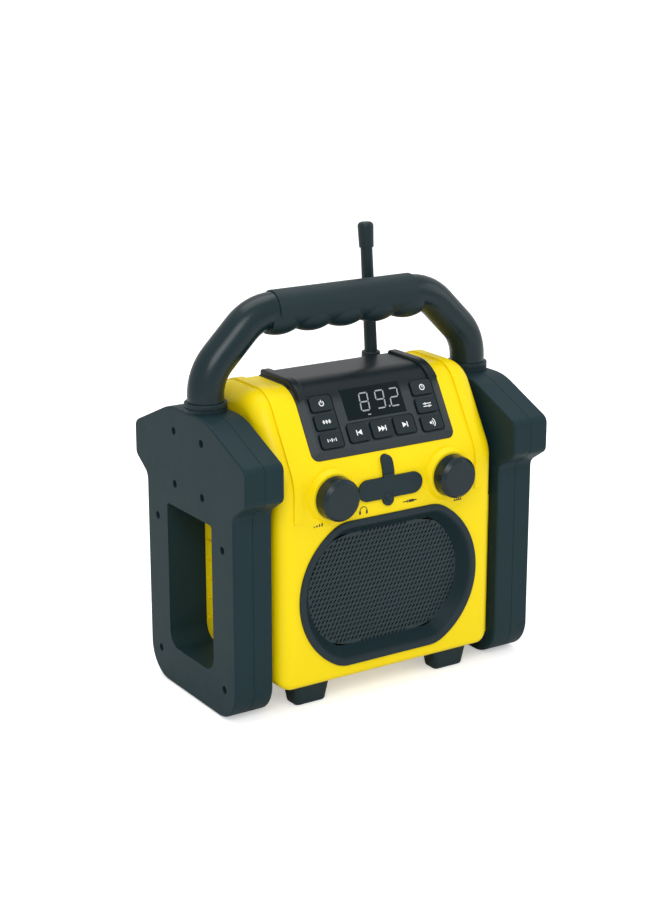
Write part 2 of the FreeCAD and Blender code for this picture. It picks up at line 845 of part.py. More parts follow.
def driver_basket():
    """Pressed steel basket of the loudspeaker."""
    y = driver_front()
    middle = V(0, y + magnet_plate, speaker_height)
    mouth = driver_radius - driver_rim
    flange = rod(V(0, y, speaker_height), Y_AXIS, driver_radius, magnet_plate)
    back = Part.makeCone(mouth, magnet_radius, driver_depth, middle, Y_AXIS)
    inside = Part.makeCone(mouth - driver_skin, magnet_radius - driver_skin, driver_depth, middle, Y_AXIS)
    hole = rod(V(0, y - 1, speaker_height), Y_AXIS, mouth - driver_skin, magnet_plate + 2)
    basket = flange.fuse(back).cut([inside, hole])
    windows = []
    for k in range(4):
        window = block(-basket_window_half, basket_window_half, y + basket_window_start,
                       y + driver_depth - basket_window_drop, speaker_height,
                       speaker_height + driver_radius + 14)
        window.rotate(V(0, 0, speaker_height), Y_AXIS, 45 + 90 * k)
        windows.append(window)
    return basket.cut(windows)


def cone_depth():
    """How far the cone runs back behind its rim."""
    return driver_depth - cone_room


def speaker_cone():
    """Paper cone with its roll surround, one revolved skin."""
    y = driver_front() + cone_seat
    r = driver_radius - cone_setback
    roll = r - cone_roll
    back = y + cone_depth()
    outline = [V(r, y, 0), V(r, y + cone_skin, 0), V(roll, y + cone_skin, 0),
               V(cap_radius, back + cone_skin, 0), V(cap_radius, back, 0),
               V(roll - cone_skin / 2, y, 0), V(r, y, 0)]
    face = Part.Face(Part.makePolygon(outline))
    cone = face.revolve(V(0, 0, 0), Y_AXIS, 360)
    cone.translate(V(0, 0, speaker_height))
    return cone


def dust_cap():
    """Domed cap in the middle of the cone."""
    y = driver_front() + cone_seat + cone_depth()
    ball = Part.makeSphere(cap_curve, V(0, y + cap_curve - cap_bulge, speaker_height))
    return ball.common(rod(V(0, y - cap_radius, speaker_height), Y_AXIS, cap_radius, cap_radius))


def driver_magnet():
    """Ring magnet with its pole plates behind the basket."""
    y = driver_front() + magnet_plate + driver_depth
    last = y + magnet_height - magnet_plate
    plate = rod(V(0, y, speaker_height), Y_AXIS, magnet_radius, magnet_plate)
    ring = rod(V(0, y + magnet_plate, speaker_height), Y_AXIS, magnet_radius - magnet_step,
               magnet_height - 2 * magnet_plate)
    back = rod(V(0, last, speaker_height), Y_AXIS, magnet_radius, magnet_plate)
    return plate.fuse([ring, back]).removeSplitter()


def key_places():
    """Name, centre, width and length of each key on the slope."""
    places = []
    names = ("power_key", "mode_key", "scan_key", "clock_key", "preset_key", "link_key")
    for k in range(6):
        side = -1 if k < 3 else 1
        height = side_key_low + (2 - k % 3) * side_key_pitch * math.cos(lean)
        places.append((names[k], side * side_key_offset, height, side_key_width, side_key_length))
    for k, name in enumerate(("back_key", "play_key", "next_key")):
        places.append((name, (k - 1) * row_key_pitch, row_key_height, row_key_width, row_key_length))
    return places


def window_middle():
    """Height of the middle of the display window."""
    return window_low + window_length * math.cos(lean) / 2


def window_top():
    """Height of the upper edge of the room under the window."""
    return window_low + window_length * math.cos(lean) + panel_ledge


def control_panel():
    """Black moulding over the shoulder, with raised side rims, key holes and window seat."""
    skin = shoulder_band(panel_proud, panel_half_width).cut(shoulder_band(-panel_sunk, 100))
    skin = skin.common(block(-200, 200, -200, panel_rear, 0, 300)).common(above_panel_edge(0))
    skin = skin.cut(panel_corners(0))
    border = [e for e in skin.Edges if on_border(e)]
    skin = skin.makeChamfer(panel_proud - panel_lip, panel_bevel, border)
    rims = []
    for s in (1, -1):
        rim = shoulder_band(panel_proud + panel_rim_height, panel_rim_width / 2,
                            s * (panel_half_width - panel_rim_width / 2 - panel_rim_inset))
        edges = [e for e in rim.Edges if e.BoundBox.XLength < 0.01]
        rim = rim.makeFillet(panel_rim_radius, edges)
        part = rim.common(block(-200, 200, -panel_rim_start, panel_rear, panel_low, 300))
        rims.append(part.cut(shoulder_band(0, 100)))
    skin = skin.fuse(rims)
    cuts = []
    for name, x, height, width, length in key_places():
        corner = key_corner + moving_gap
        cuts.append(slope_pad(x, height, width + 2 * moving_gap, length + 2 * moving_gap, -10, 10, corner))
        flange = key_flange + moving_gap
        cuts.append(slope_block(x, height, width + 2 * flange, length + 2 * flange, -10,
                                panel_proud - window_thickness))
    cuts += key_beds()
    middle = window_middle()
    cuts.append(slope_block(0, middle, 2 * (window_half_width - window_seat),
                            window_length - 2 * window_ledge, -10, 10))
    cuts.append(slope_block(0, middle, 2 * window_half_width, window_length,
                            panel_proud - window_thickness, 10))
    return skin.cut(cuts)


def on_border(edge):
    """Whether an edge bounds the panel's outer face, apart from its rear end."""
    ends = [v.Point for v in edge.Vertexes]
    if all(abs(p.y - panel_rear) < 0.01 for p in ends):
        return False
    outer = body_outline(panel_proud)
    outer_wire = outer.OuterWire
    spots = [V(0, p.y, p.z) for p in ends]
    return all(outer_wire.distToShape(Part.Vertex(p))[0] < 0.01 for p in spots)


def key_beds():
    """Shallow sunken beds, one under each column of keys and one under the row."""
    low = panel_proud - key_bed_depth
    margin = 2 * key_bed_margin
    column = 2 * side_key_pitch + side_key_length + margin
    middle = side_key_low + side_key_pitch * math.cos(lean)
    beds = [slope_pad(s * side_key_offset, middle, side_key_width + margin, column, low, 10,
                      key_corner + key_bed_margin) for s in (1, -1)]
    beds.append(slope_pad(0, row_key_height, 2 * row_key_pitch + row_key_width + margin,
                          row_key_length + margin, low, 10, key_corner + key_bed_margin))
    return beds


def key_cap(x, height, width, length):
    """Moulded key with a hidden flange that keeps it in the panel."""
    top = panel_proud + key_proud
    cap = slope_pad(x, height, width, length, panel_proud - window_thickness - key_flange_depth, top, key_corner)
    crown = [e for e in cap.Edges if on_top(e, x, height, top)]
    cap = cap.makeFillet(key_edge_radius, crown)
    flange_top = panel_proud - window_thickness - key_rest_gap
    flange = slope_block(x, height, width + 2 * key_flange, length + 2 * key_flange,
                         flange_top - key_flange_depth, flange_top)
    return cap.fuse(flange).removeSplitter()


def on_top(edge, x, height, out):
    """Whether an edge lies in the plane at a distance off the slope."""
    base = on_slope(x, height, out)
    return all(abs((v.Point - base).dot(SLOPE_OUT)) < 0.01 for v in edge.Vertexes)


def display_window():
    """Clear lens flush with the panel."""
    low = panel_proud - window_thickness
    return slope_block(0, window_middle(), 2 * window_half_width - seat_gap, window_length - seat_gap, low,
                       panel_proud - window_sink)


def display_module():
    """Four-digit light module behind the lens."""
    width = 2 * (window_half_width - window_seat - module_gap)
    length = window_length - 2 * (window_ledge + module_gap)
    return slope_block(0, window_middle(), width, length, -panel_sunk - board_gap,
                       panel_proud - window_thickness - module_room)


def key_board():
    """Circuit board under the panel, with one switch below each key."""
    top = -panel_sunk - board_gap
    half = side_key_offset + side_key_width / 2 + board_margin
    board = slope_block(0, panel_low + board_rise, 2 * half, 2 * (side_key_pitch + board_overhang),
                        top - board_thickness, top)
    underside = panel_proud - window_thickness - key_rest_gap - key_flange_depth
    button = underside - key_travel - switch_gap
    switches = [slope_block(x, height, switch_width, switch_width, top, button)
                for name, x, height, width, length in key_places()]
    return board.fuse(switches)


def knob(x):
    """Round control knob: a slightly tapered drum with a bevel round its flat face."""
    r = knob_radius
    corners = [V(0, 0, 0), V(r, 0, 0), V(r - knob_taper, knob_bevel_start, 0),
               V(r - knob_taper - knob_bevel_width, knob_length, 0), V(0, knob_length, 0)]
    profile = Part.Face(Part.makePolygon(corners + [corners[0]]))
    body = profile.revolve(V(0, 0, 0), Y_AXIS, 360)
    edges = [e for e in body.Edges if e.Length > 1 and e.BoundBox.YLength < 0.01 and e.CenterOfMass.y > 1]
    body = body.makeFillet(knob_edge_radius, edges)
    body.rotate(V(0, 0, 0), X_AXIS, 180)
    body.translate(V(x, knob_back(), knob_height))
    return body.cut(rod(V(x, knob_back() + 1, knob_height), V(0, -1, 0), shaft_radius,
                        knob_length - shaft_seat + 1))


def knob_back():
    """Where the back face of a knob stands, just clear of its stand."""
    return -body_front - knob_boss_height - knob_gap


def knob_shaft(x):
    """Metal shaft pressed into the knob and turning in the control's bushing."""
    tip = knob_back() - knob_length + shaft_seat
    return rod(V(x, tip, knob_height), Y_AXIS, shaft_radius, shaft_end() - tip)


def shaft_end():
    """Depth of the rear end of a shaft, just behind its control."""
    return -body_front + wall + nut_thickness + control_depth + shaft_tail


def rotary_control(x):
    """Potentiometer or encoder body with a threaded bushing through the case."""
    y_wall = -body_front + wall
    y_case = y_wall + nut_thickness
    half = control_half_width
    case = block(x - half, x + half, y_case, y_case + control_depth, knob_height - half, knob_height + half)
    y_front = -body_front - knob_boss_height
    bushing = rod(V(x, y_front, knob_height), Y_AXIS, bushing_radius, y_case - y_front)
    nut = rod(V(x, y_wall + seat_gap, knob_height), Y_AXIS, bushing_radius + nut_width, nut_thickness)
    bore = rod(V(x, y_front - 1, knob_height), Y_AXIS, shaft_radius + shaft_gap, shaft_end() - y_front + 2)
    return case.fuse([bushing, nut]).cut(bore)


def jack_socket(x):
    """Panel jack with a round bushing that ends just under the rubber cover."""
    y0 = -body_front + jack_post_length + jack_post_gap
    bushing = rod(V(x, y0, cover_center), Y_AXIS, jack_bushing_radius, jack_bushing_length)
    case = block(x - jack_half_width, x + jack_half_width, y0 + jack_bushing_length,
                 y0 + jack_bore_length + 2, cover_center - jack_half_height, cover_center + jack_half_height)
    bore = rod(V(x, y0 - 1, cover_center), Y_AXIS, jack_bore_radius, jack_bore_length + 1)
    return bushing.fuse(case).cut(bore)


def cover_outline(y0, y1):
    """The cross of the jack cover, seen from the front, as a prism."""
    bar = capsule(cover_half_length, cover_bar_height, y0, y1, cover_center)
    bar.translate(V(cover_middle, 0, 0))
    r = cover_arm_width / 2
    x = cover_arm_middle
    arm = block(x - r, x + r, y0, y1, cover_arm_bottom + r, cover_arm_top - r)
    ends = [rod(V(x, y0, z), Y_AXIS, r, y1 - y0) for z in (cover_arm_bottom + r, cover_arm_top - r)]
    return bar.fuse([arm] + ends).removeSplitter()


def cover_blank():
    """The rubber cross, lying on the case, before it is parted at its living hinge."""
    skin = shoulder_band(cover_gap + cover_thickness, cover_half_length + 5)
    skin = skin.cut(shoulder_band(cover_gap, cover_half_length + 10))
    return skin.common(cover_outline(-body_front - 10, -20))


def jack_cover():
    """Lower, swinging part of the rubber cover, with its finger bump and sealing posts."""
    y0 = -body_front - cover_gap - cover_thickness
    flap = cover_blank().common(block(-100, 100, -100, 0, 0, cover_hinge_height - cover_slit / 2))
    crown = [e for e in flap.Edges if abs(e.CenterOfMass.y - y0) < 0.01
             and e.CenterOfMass.z < cover_center + cover_bar_height / 2 + 0.1]
    flap = flap.makeFillet(cover_edge_radius, crown)
    bump = Part.makeSphere(cover_bump_radius, V(cover_arm_middle, y0 + cover_bump_sink,
                                                cover_arm_bottom + cover_bump_rise))
    bump = bump.common(block(-10, 10, -100, y0 + 0.5, 0, 300))
    posts = [rod(V(x, -body_front - cover_gap, cover_center), Y_AXIS, jack_post_radius, jack_post_length)
             for x in (-jack_offset, jack_offset)]
    return flap.fuse([bump] + posts).removeSplitter()


def cover_peg(radius, length):
    """Peg that holds the upper end of the cover in the case."""
    return rod(on_slope(cover_arm_middle, cover_arm_top - cover_peg_drop, cover_gap + 0.5), SLOPE_OUT * -1,
               radius, length)


def cover_anchor():
    """Upper end of the rubber cover, fixed to the case by a peg."""
    tab = cover_blank().common(block(-100, 100, -100, 0, cover_hinge_height + cover_slit / 2, 300))
    return tab.fuse(cover_peg(cover_peg_radius, wall + 2))


def foot(x, y):
    """Tapered rubber foot with rounded lower edges, glued to the case."""
    height = body_bottom
    half_w = foot_width / 2
    half_d = foot_depth / 2
    t = foot_taper

    def ring(w, d, z):
        return rounded_wire([V(x - w, y - d, z), V(x + w, y - d, z), V(x + w, y + d, z), V(x - w, y + d, z)],
                            [foot_corner] * 4)

    solid = Part.makeLoft([ring(half_w - t, half_d - t, 0), ring(half_w, half_d, height)], True, True)
    sole = [e for e in solid.Edges if abs(e.CenterOfMass.z) < 0.01 and e.BoundBox.ZLength < 0.01]
    return solid.makeFillet(foot_sole_radius, sole)


def battery_door():
    """Lid of the battery bay, hinged along its lower edge, with a finger notch at the top."""
    y1 = body_rear
    y0 = y1 - door_thickness
    lid = block(-bay_half_width + moving_gap, bay_half_width - moving_gap, y0, y1,
                bay_bottom + moving_gap, bay_top - moving_gap)
    top = bay_top - door_rib_drop
    starts = [(i - (door_rib_count - 1) / 2) * door_rib_pitch for i in range(door_rib_count)]
    ribs = [block(x, x + door_rib_width, y1 - 0.2, y1 + door_rib_height, top - door_rib_length, top)
            for x in starts]
    half = bay_half_width + door_pin_length
    pins = rod(V(-half, y0 + door_thickness / 2, bay_bottom + door_pin_height), X_AXIS, door_pin_radius, 2 * half)
    return lid.fuse(ribs + [pins]).removeSplitter()


def battery_tray():
    """Moulded bay behind the door, with two rows for the cells."""
    y1 = body_rear - wall
    y0 = y1 - bay_depth
    w = bay_half_width + bay_wall
    tray = block(-w, w, y0, y1, bay_bottom - bay_wall, bay_top + bay_wall)
    room = block(-bay_half_width, bay_half_width, y0 + bay_wall, y1 + 1, bay_bottom, bay_top)
    middle = (bay_bottom + bay_top) / 2
    rail = block(-bay_half_width, bay_half_width, y0 + bay_wall / 2, y0 + rail_depth,
                 middle - rail_half_height, middle + rail_half_height)
    return tray.cut(room).fuse(rail)


def battery_cells():
    """Four round cells in two rows."""
    cells = []
    y = body_rear - wall - bay_depth + bay_wall + cell_radius + cell_gap
    middle = (bay_bottom + bay_top) / 2
    for z in (middle - cell_row_pitch / 2, middle + cell_row_pitch / 2):
        for x in (-cell_length - cell_gap, cell_gap):
            barrel = rod(V(x + cell_nub_length, y, z), X_AXIS, cell_radius, cell_length - 2 * cell_nub_length)
            nub = rod(V(x, y, z), X_AXIS, cell_nub_radius, cell_length - cell_nub_length)
            cells.append(barrel.fuse(nub).removeSplitter())
    return cells


def dc_inlet():
    """Round power socket with its centre pin, in the lower corner of the back."""
    length = inlet_length
    y1 = body_rear
    y0 = y1 - wall - length
    barrel = rod(V(inlet_offset, y0, inlet_height), Y_AXIS, inlet_radius + inlet_wall, wall + length)
    case = block(inlet_offset - inlet_case, inlet_offset + inlet_case, y0 - inlet_back, y1 - wall,
                 inlet_height - inlet_case, inlet_height + inlet_case)
    bore = rod(V(inlet_offset, y1 - length, inlet_height), Y_AXIS, inlet_radius, length + 1)
    pin = rod(V(inlet_offset, y1 - length - 1, inlet_height), Y_AXIS, inlet_pin_radius, length - 1)
    return barrel.fuse(case).cut(bore).fuse(pin)


def aerial_axis():
    """Direction of the aerial, leaning slightly backwards."""
    a = math.radians(aerial_lean)
    return V(0, math.sin(a), math.cos(a))


def aerial_base():
    """Collar of the aerial, standing on the curved crown, with its stem through the case."""
    collar_low = body_top - aerial_collar_depth
    collar_top = body_top + aerial_collar_height
    boss = rod(V(aerial_x, aerial_y, collar_low), Z_AXIS, aerial_radius + aerial_collar_width,
               collar_top - collar_low)
    top = [e for e in boss.Edges if abs(e.CenterOfMass.z - collar_top) < 0.01]
    boss = boss.makeFillet(1.2, top)
    stem = rod(V(aerial_x, aerial_y, collar_low - aerial_stem_length), Z_AXIS, aerial_stem_radius,
               2 * aerial_stem_length)
    hole = rod(V(aerial_x, aerial_y, shoulder_start), Z_AXIS, aerial_stem_radius, 100)
    return boss.fuse(stem).cut(body_solid(0).cut(hole))


def aerial_rod():
    """Flexible rubber-covered rod."""
    d = aerial_axis()
    start = V(aerial_x, aerial_y, body_top + aerial_collar_height)
    length = (aerial_top - aerial_cap_length - start.z) / d.z
    stick = Part.makeCone(aerial_radius, aerial_radius - aerial_taper, length + 3.0, start - d * 3.0, d)
    return stick.cut(block(-200, 200, -200, 200, 0, start.z))


def aerial_cap():
    """Slightly wider moulded tip with a domed end."""
    d = aerial_axis()
    start_z = body_top + aerial_collar_height
    length = (aerial_top - aerial_cap_length - start_z) / d.z
    start = V(aerial_x, aerial_y, start_z) + d * length
    stick = Part.makeCone(aerial_cap_radius - aerial_cap_taper, aerial_cap_radius, aerial_cap_length, start, d)
    tip = [e for e in stick.Edges if e.CenterOfMass.z > start.z + aerial_cap_length - 2]
    return stick.makeFillet(aerial_tip_radius, [e for e in tip if len(e.Vertexes) == 1])


def main_board():
    """Main circuit board, upright behind the controls, with its larger components."""
    half = main_board_width / 2
    low = knob_height - main_board_drop
    front = -body_front + main_board_setback
    y = front + board_thickness
    board = block(-half, half, front, y, low, low + main_board_height)
    parts = [block(-half + 10, -half + 26, y, y + 6.4, low + 6, low + 18),
             block(-half + 50, -half + 74, y, y + 3.4, low + 4, low + 28),
             rod(V(half - 40, y, low + 12), Y_AXIS, 5, 12),
             rod(V(half - 26, y, low + 12), Y_AXIS, 5, 12),
             block(half - 18, half - 4, y, y + 14.4, low + 4, low + 32)]
    return board.fuse(parts).removeSplitter()


save("front_shell", front_shell())
save("rear_shell", rear_shell())
save("shell_screws", *shell_screws())
for label, is_outer in (("outer", True), ("inner", False)):
    half = frame_half(is_outer)
    save("left_frame_" + label, half)
    save("right_frame_" + label, mirrored(half))
save("frame_screws", *frame_screws())
save("left_side_pad", side_pad())
save("right_side_pad", mirrored(side_pad()))
save("handle_tube", handle_tube())
save("handle_grip", handle_grip())
save("left_collar", collar())
save("right_collar", mirrored(collar()))
save("speaker_bezel", speaker_bezel())
save("speaker_grille", speaker_grille())
save("driver_basket", driver_basket())
save("speaker_cone", speaker_cone())
save("dust_cap", dust_cap())
save("driver_magnet", driver_magnet())
save("control_panel", control_panel())
save("display_window", display_window())
save("display_module", display_module())
save("key_board", key_board())
for name, x, height, width, length in key_places():
    save(name, key_cap(x, height, width, length))
for name, x in (("volume", -knob_offset), ("tuning", knob_offset)):
    save(name + "_knob", knob(x))
    save(name + "_shaft", knob_shaft(x))
    save(name + "_control", rotary_control(x))
save("headphone_jack", jack_socket(-jack_offset))
save("aux_jack", jack_socket(jack_offset))
save("jack_cover", jack_cover())
save("cover_anchor", cover_anchor())
foot_front = -body_front + foot_setback + foot_depth / 2
foot_back = body_rear - foot_setback - foot_depth / 2
save("front_left_foot", foot(-foot_offset, foot_front))
save("front_right_foot", foot(foot_offset, foot_front))
save("rear_left_foot", foot(-foot_offset, foot_back))
save("rear_right_foot", foot(foot_offset, foot_back))
save("battery_door", battery_door())
save("battery_tray", battery_tray())
save("battery_cells", *battery_cells())
save("dc_inlet", dc_inlet())
save("aerial_base", aerial_base())
save("aerial_rod", aerial_rod())
save("aerial_cap", aerial_cap())
save("main_board", main_board())
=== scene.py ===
import math

import bpy
import numpy as np
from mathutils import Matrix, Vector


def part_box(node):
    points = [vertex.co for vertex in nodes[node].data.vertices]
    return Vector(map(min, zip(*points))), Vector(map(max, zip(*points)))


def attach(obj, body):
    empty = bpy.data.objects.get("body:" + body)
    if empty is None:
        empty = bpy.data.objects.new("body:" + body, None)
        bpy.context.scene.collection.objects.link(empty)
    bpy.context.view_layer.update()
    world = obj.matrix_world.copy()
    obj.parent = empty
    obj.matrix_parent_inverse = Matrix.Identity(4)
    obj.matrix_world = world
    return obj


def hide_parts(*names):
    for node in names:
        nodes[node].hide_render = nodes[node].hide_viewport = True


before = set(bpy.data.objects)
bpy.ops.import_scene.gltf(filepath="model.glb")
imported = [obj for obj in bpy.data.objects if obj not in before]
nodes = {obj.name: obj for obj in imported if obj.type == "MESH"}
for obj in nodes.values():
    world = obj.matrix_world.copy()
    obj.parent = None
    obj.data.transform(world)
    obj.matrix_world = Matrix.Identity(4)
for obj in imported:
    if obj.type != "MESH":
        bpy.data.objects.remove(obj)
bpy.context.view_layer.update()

# Yellow body: two moulded shells of glossy yellow plastic, joined at the middle by
# four screws from behind. The ribbed pads between body and side frames are moulded
# in the same yellow.

mm = 0.001
yellow = (0.90, 0.70, 0.002)
yellow_deep = (0.86, 0.64, 0.001)


class Signal:
    """A value in a material that is added, subtracted and multiplied like a number."""

    def __init__(self, finish, socket):
        self.finish = finish
        self.socket = socket

    def maths(self, operation, *values):
        """The value worked on by one operation of the Math node."""
        numbered = dict(enumerate(values))
        return self.finish.node("Math", {"operation": operation}, numbered)

    def __add__(self, other):
        return self.maths("ADD", self, other)

    def __radd__(self, other):
        return self.maths("ADD", other, self)

    def __sub__(self, other):
        return self.maths("SUBTRACT", self, other)

    def __rsub__(self, other):
        return self.maths("SUBTRACT", other, self)

    def __mul__(self, other):
        return self.maths("MULTIPLY", self, other)

    def __rmul__(self, other):
        return self.maths("MULTIPLY", other, self)

    def clamped(self):
        """The value held between 0 and 1."""
        return self.maths("MINIMUM", self.maths("MAXIMUM", self, 0.0), 1.0)


class Finish:
    """A material, or the room's light, and the nodes that feed its shader."""

    def __init__(self, holder, shader="Principled BSDF"):
        self.holder = holder
        holder.use_nodes = True
        self.tree = holder.node_tree
        self.shader = self.tree.nodes[shader]

    def feed(self, socket, value):
        """Link a signal to a socket, or set the socket to a plain value."""
        if isinstance(value, Signal):
            self.tree.links.new(value.socket, socket)
        else:
            socket.default_value = value

    def node(self, kind, settings=None, inputs=None, output=0):
        """Add a node: its settings come first, then the values or links of its sockets."""
        made = self.tree.nodes.new("ShaderNode" + kind)
        for key, value in (settings or {}).items():
            setattr(made, key, value)
        for key, value in (inputs or {}).items():
            self.feed(made.inputs[key], value)
        return Signal(self, made.outputs[output])

    def place(self):
        """The point on the object, in metres."""
        return self.node("TexCoord", output="Object")

    def noise(self, size, detail=2.0, rough=0.5):
        """Even noise from 0 to 1 whose lumps are about the given size across."""
        values = {"Vector": self.place(), "Scale": 1 / size, "Detail": detail, "Roughness": rough}
        return self.node("TexNoise", inputs=values)

    def blend(self, factor, first, second):
        """A colour between two colours."""
        ends = [end if isinstance(end, Signal) else (*end, 1) for end in (first, second)]
        colour_sockets = {0: factor, 6: ends[0], 7: ends[1]}
        return self.node("Mix", {"data_type": "RGBA"}, colour_sockets, 2)

    def rise(self, axis, start, end):
        """From 0 to 1 between two places along one axis of the object."""
        along = self.node("SeparateXYZ", inputs={"Vector": self.place()}, output=axis)
        return ((along - start) * (1 / (end - start))).clamped()

    def grain(self, height, size, depth):
        """A bumped surface normal from a height signal."""
        values = {"Height": height, "Strength": depth, "Distance": size}
        return self.node("Bump", inputs=values)

    def shine(self, **sockets):
        """Feed the main shader; an underscore in a name stands for a space."""
        for key, value in sockets.items():
            self.feed(self.shader.inputs[key.replace("_", " ")], value)
        return self


drift_size = 40 * mm
smear_size = 9 * mm
smear_range = 0.12
grain_height = 0.12


def moulded(name, dark, light, roughness, grain_size, grain_depth, gloss=0.3):
    """Moulded plastic: a slow drift between two near colours, a fine grain in the skin."""
    finish = Finish(bpy.data.materials.new(name))
    drift = finish.noise(drift_size, 3)
    smear = finish.noise(smear_size, 4, 0.6)
    skin = finish.noise(grain_size, 2)
    return finish.shine(
        Base_Color=finish.blend(drift, dark, light),
        Roughness=roughness - smear_range / 2 + smear_range * smear,
        Normal=finish.grain(skin, grain_size * grain_height, grain_depth),
        Specular_IOR_Level=gloss,
    )


def dress(finish, *names):
    """Give the named construction pieces one finish."""
    for name in names:
        mesh = nodes[name].data
        mesh.materials.clear()
        mesh.materials.append(finish.holder)


yellow_plastic = moulded(
    "yellow_plastic", yellow_deep, yellow,
    roughness=0.36, grain_size=0.5 * mm, grain_depth=0.10, gloss=0.18,
)
dress(yellow_plastic, "front_shell", "rear_shell", "left_side_pad", "right_side_pad")

# Side frames: each is two clamshell halves moulded in dark slate plastic, held together
# by steel screws in deep round recesses. The battery door and its tray are of the same
# plastic, and the screws, shafts, controls and cells are bright metal.

slate = (0.008, 0.025, 0.031)
slate_light = (0.012, 0.031, 0.037)
steel = (0.35, 0.35, 0.36)

slate_plastic = moulded(
    "slate_plastic", slate, slate_light,
    roughness=0.5, grain_size=0.6 * mm, grain_depth=0.25, gloss=0.14,
)
dress(slate_plastic, "left_frame_outer", "left_frame_inner", "right_frame_outer",
      "right_frame_inner", "battery_door", "battery_tray")

screw_steel = moulded(
    "screw_steel", steel, (0.42, 0.42, 0.43),
    roughness=0.35, grain_size=0.4 * mm, grain_depth=0.1,
)
screw_steel.shine(Metallic=1.0)
dress(screw_steel, "frame_screws", "shell_screws", "volume_shaft", "tuning_shaft",
      "volume_control", "tuning_control", "battery_cells")

# Handle: a bent tube, powder coated dark, clamped in the heads of both frames, with a
# soft sleeve that has finger lobes and a ringed collar at each end of the tube.

coating = moulded(
    "handle_coating", (0.002, 0.014, 0.018), (0.004, 0.018, 0.023),
    roughness=0.28, grain_size=0.9 * mm, grain_depth=0.22, gloss=0.32,
)
dress(coating, "handle_tube")

rubber = moulded(
    "slate_rubber", (0.003, 0.016, 0.021), (0.006, 0.021, 0.027),
    roughness=0.5, grain_size=0.7 * mm, grain_depth=0.3,
)
dress(rubber, "handle_grip", "left_collar", "right_collar", "jack_cover", "cover_anchor",
      "front_left_foot", "front_right_foot", "rear_left_foot", "rear_right_foot")

# Loudspeaker: a pressed paper cone in a painted steel basket, behind a grille of
# pierced and painted steel sheet. The grille is held in a moulded bezel, and painted
# shade makes its throat a little darker than its front.

paper = moulded(
    "cone_paper", (0.012, 0.012, 0.012), (0.02, 0.02, 0.02),
    roughness=0.85, grain_size=0.8 * mm, grain_depth=0.4,
)
dress(paper, "speaker_cone", "dust_cap")
basket_paint = moulded(
    "basket_paint", (0.006, 0.006, 0.007), (0.010, 0.010, 0.011),
    roughness=0.6, grain_size=1 * mm, grain_depth=0.2, gloss=0.1,
)
dress(basket_paint, "driver_basket", "driver_magnet")

bezel_plastic = moulded(
    "bezel_plastic", slate, slate_light,
    roughness=0.45, grain_size=0.6 * mm, grain_depth=0.25, gloss=0.14,
)
# Painted shade in the bezel's throat: between these two depths the colour blends from the front's
# colour to a darker one.
throat_start = -65.2 * mm
throat_end = -63.8 * mm
throat_shade = bezel_plastic.rise(1, throat_start, throat_end)
bezel_front = (0.018, 0.030, 0.036)
throat_painted_shade = (0.005, 0.019, 0.024)
bezel_plastic.shine(Base_Color=bezel_plastic.blend(throat_shade, bezel_front, throat_painted_shade))
dress(bezel_plastic, "speaker_bezel")

grille_paint = moulded(
    "grille_paint", (0.005, 0.020, 0.025), (0.009, 0.025, 0.031),
    roughness=0.4, grain_size=0.8 * mm, grain_depth=0.1, gloss=0.4,
)
hole_pitch_x = 3.4 * mm
hole_pitch_z = 3.5 * mm
hole_length = 0.72 * mm
hole_height = 1.15 * mm
hole_slant = 0.75
hole_shift = 0.5
superellipse = 3.0
last_hole = 0.97
sheet_thickness = 1.2 * mm


def make_piece(name, points, faces, finish, slot, body):
    """A new mesh piece from an array of points and a list of faces."""
    mesh = bpy.data.meshes.new(name)
    mesh.from_pydata(points.tolist(), [], faces)
    mesh.materials.append(finish.holder)
    piece = bpy.data.objects.new(name, mesh)
    bpy.context.scene.collection.objects.link(piece)
    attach(piece, body)
    return piece


def thicken(piece, thickness, offset):
    """Give a sheet its thickness: outwards at an offset of 1, inwards at -1."""
    wall = piece.modifiers.new("wall", "SOLIDIFY")
    wall.thickness = thickness
    wall.offset = offset
    wall.use_even_offset = True


def reach(points, half):
    """How far out a point lies: (|x/a|^p + |z/b|^p)^(1/p), which is 1 on the outline."""
    return (np.abs(points / half) ** superellipse).sum(-1) ** (1 / superellipse)


